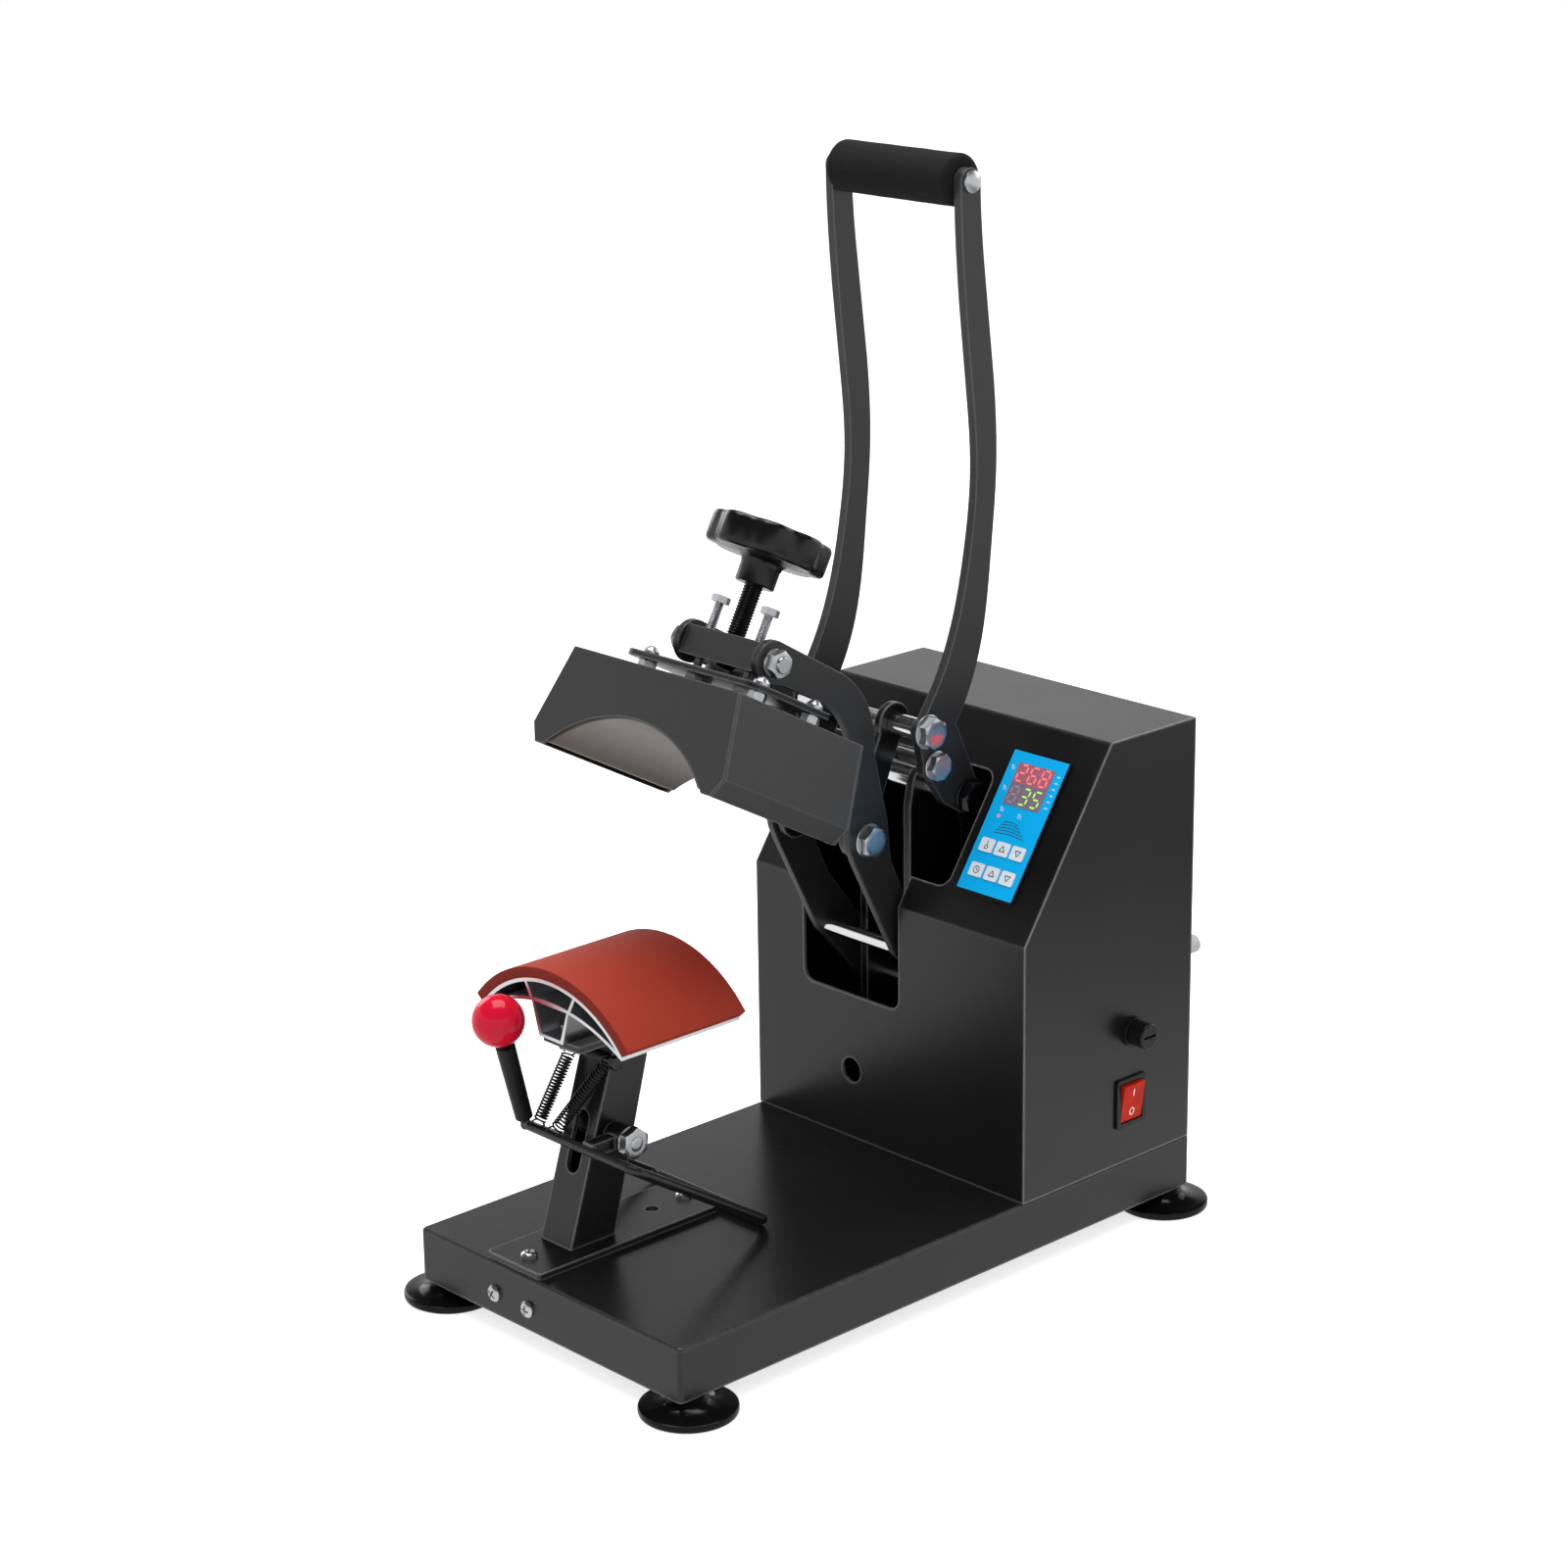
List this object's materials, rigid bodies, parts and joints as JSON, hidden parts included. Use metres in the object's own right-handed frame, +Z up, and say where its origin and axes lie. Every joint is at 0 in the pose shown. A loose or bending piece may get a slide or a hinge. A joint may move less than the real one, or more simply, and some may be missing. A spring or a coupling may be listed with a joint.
{
  "type": "cap heat press",
  "caption": "Lever-operated press with curved heated upper platen, curved padded lower platen and a control console.",
  "frame": {"origin": "floor level under the middle of the base", "axes": "+X to the right, +Y to the back, +Z up"},
  "size_m": [0.268, 0.455, 0.6549],
  "materials": {
    "black_steel": "fine satin powder coat",
    "console_grey": "fine satin powder coat",
    "zinc": "bright zinc plate",
    "bright_tube": "bright drawn tube",
    "black_oxide": "black oxide",
    "spring_steel": "dark spring wire",
    "aluminium": "extruded",
    "cast_block": "taupe coated casting",
    "silicone": "matt terracotta silicone",
    "foot_rubber": "glossy black rubber",
    "foam": "matt black foam",
    "sleeve": "black sleeve",
    "knob_plastic": "gloss black",
    "ball_plastic": "gloss red",
    "black_plastic": "matt black",
    "rocker_red": "translucent red, lit from within",
    "film_blue": "sky blue film",
    "key_white": "white key",
    "lens": "dark tinted window",
    "gland_grey": "pale grey",
    "wool": "ceramic wool",
    "mica": "mica heater band"
  },
  "bodies": {
    "frame": {"base_shell": "black_steel", "base_stiffener": "black_steel", "rubber_feet": "foot_rubber", "foot_studs": "zinc", "pan_screws": "zinc", "stand_plate": "black_steel", "stand_post": "black_steel", "stand_top_plate": "black_steel", "lower_platen": "aluminium", "platen_pad": "silicone", "platen_bolts": "zinc", "lever_pivot_bolt": "zinc", "spring_pin": "black_oxide", "console_shell": "console_grey", "rear_cover": "console_grey", "cable_gland": "gland_grey", "relay_block": "black_plastic", "pivot_plates": "black_steel", "pivot_bolts": "zinc", "handle_shaft": "black_oxide", "arm_shaft": "zinc", "pivot_spacers": "bright_tube", "controller_housing": "black_plastic", "controller_film": "film_blue", "display_window": "lens", "rocker_frame": "black_plastic", "fuse_holder": "black_plastic"},
    "arm": {"arm_plates": "black_steel", "arm_spacer": "bright_tube", "arm_bolts": "zinc", "crossbar": "black_steel"},
    "platen": {"cover_shell": "black_steel", "cover_end_plates": "black_steel", "heating_block": "cast_block", "heating_element": "mica", "insulation_pad": "wool", "mounting_plate": "black_steel", "standoff_bolts": "zinc", "guide_bolts": "zinc", "thrust_collar": "black_oxide"},
    "screw": {"pressure_screw": "black_oxide", "star_knob": "knob_plastic"},
    "handle": {"handle_bars": "black_steel", "handle_bolts": "zinc", "handle_tubes": "bright_tube", "grip_rod": "zinc", "foam_grip": "foam"},
    "link": {"link_plates": "black_steel"},
    "lever": {"lever_rod": "black_steel", "lever_sleeve": "sleeve", "ball_knob": "ball_plastic", "lever_springs": "spring_steel"},
    "rocker": {"rocker_switch": "rocker_red"},
    "fuse_cap": {"fuse_cap": "black_plastic"},
    "temp_key": {"temp_key": "key_white"},
    "temp_up_key": {"temp_up_key": "key_white"},
    "temp_down_key": {"temp_down_key": "key_white"},
    "time_key": {"time_key": "key_white"},
    "time_up_key": {"time_up_key": "key_white"},
    "time_down_key": {"time_down_key": "key_white"}
  },
  "joints": [
    {"name": "handle_lift", "type": "hinge", "parent": "frame", "child": "handle", "pos_m": [-0.031, 0.1064, 0.2711], "axis": [1, 0, 0], "range_deg": [0, 84.9]},
    {"name": "arm_swing", "type": "hinge", "parent": "frame", "child": "arm", "pos_m": [-0.031, 0.1154, 0.1359], "axis": [1, 0, 0], "range_deg": [0, 28.45]},
    {"name": "link_fold", "type": "hinge", "parent": "handle", "child": "link", "pos_m": [-0.031, 0.072, 0.3184], "axis": [1, 0, 0], "range_deg": [-118.9, 0]},
    {"name": "platen_slide", "type": "slide", "parent": "arm", "child": "platen", "axis": [0, -0.4764, -0.8792], "range_m": [-0.00194, 0.00069]},
    {"name": "pressure_turn", "type": "hinge", "parent": "platen", "child": "screw", "pos_m": [-0.031, -0.0172, 0.40758], "axis": [0, -0.4764, -0.8792], "range_deg": [-400, 143]},
    {"name": "lever_press", "type": "hinge", "parent": "frame", "child": "lever", "pos_m": [-0.0117, -0.143, 0.112], "axis": [1, 0, 0], "range_deg": [0, 26], "stiffness_Nm_per_rad": 0.8, "springref_deg": -20.05, "deforming": ["lever_springs"]},
    {"name": "rocker_tilt", "type": "hinge", "parent": "frame", "child": "rocker", "pos_m": [0.114, 0.156, 0.0844], "axis": [0, 1, 0], "range_deg": [0, 17]},
    {"name": "fuse_cap_turn", "type": "hinge", "parent": "frame", "child": "fuse_cap", "pos_m": [0.12, 0.158, 0.129], "axis": [1, 0, 0], "range_deg": [-90, 0]},
    {"name": "temp_key_press", "type": "slide", "parent": "frame", "child": "temp_key", "axis": [0, 0.8275, -0.5615], "range_m": [0, 0.0004], "stiffness_N_per_m": 500},
    {"name": "temp_up_key_press", "type": "slide", "parent": "frame", "child": "temp_up_key", "axis": [0, 0.8275, -0.5615], "range_m": [0, 0.0004], "stiffness_N_per_m": 500},
    {"name": "temp_down_key_press", "type": "slide", "parent": "frame", "child": "temp_down_key", "axis": [0, 0.8275, -0.5615], "range_m": [0, 0.0004], "stiffness_N_per_m": 500},
    {"name": "time_key_press", "type": "slide", "parent": "frame", "child": "time_key", "axis": [0, 0.8275, -0.5615], "range_m": [0, 0.0004], "stiffness_N_per_m": 500},
    {"name": "time_up_key_press", "type": "slide", "parent": "frame", "child": "time_up_key", "axis": [0, 0.8275, -0.5615], "range_m": [0, 0.0004], "stiffness_N_per_m": 500},
    {"name": "time_down_key_press", "type": "slide", "parent": "frame", "child": "time_down_key", "axis": [0, 0.8275, -0.5615], "range_m": [0, 0.0004], "stiffness_N_per_m": 500}
  ],
  "couplings": [
    {"joint": "arm_swing", "follows": "handle_lift", "ratio": 0.3351},
    {"joint": "link_fold", "follows": "handle_lift", "ratio": -1.4005},
    {"joint": "pressure_turn", "follows": "platen_slide", "rad_per_m": 3590.4}
  ]
}
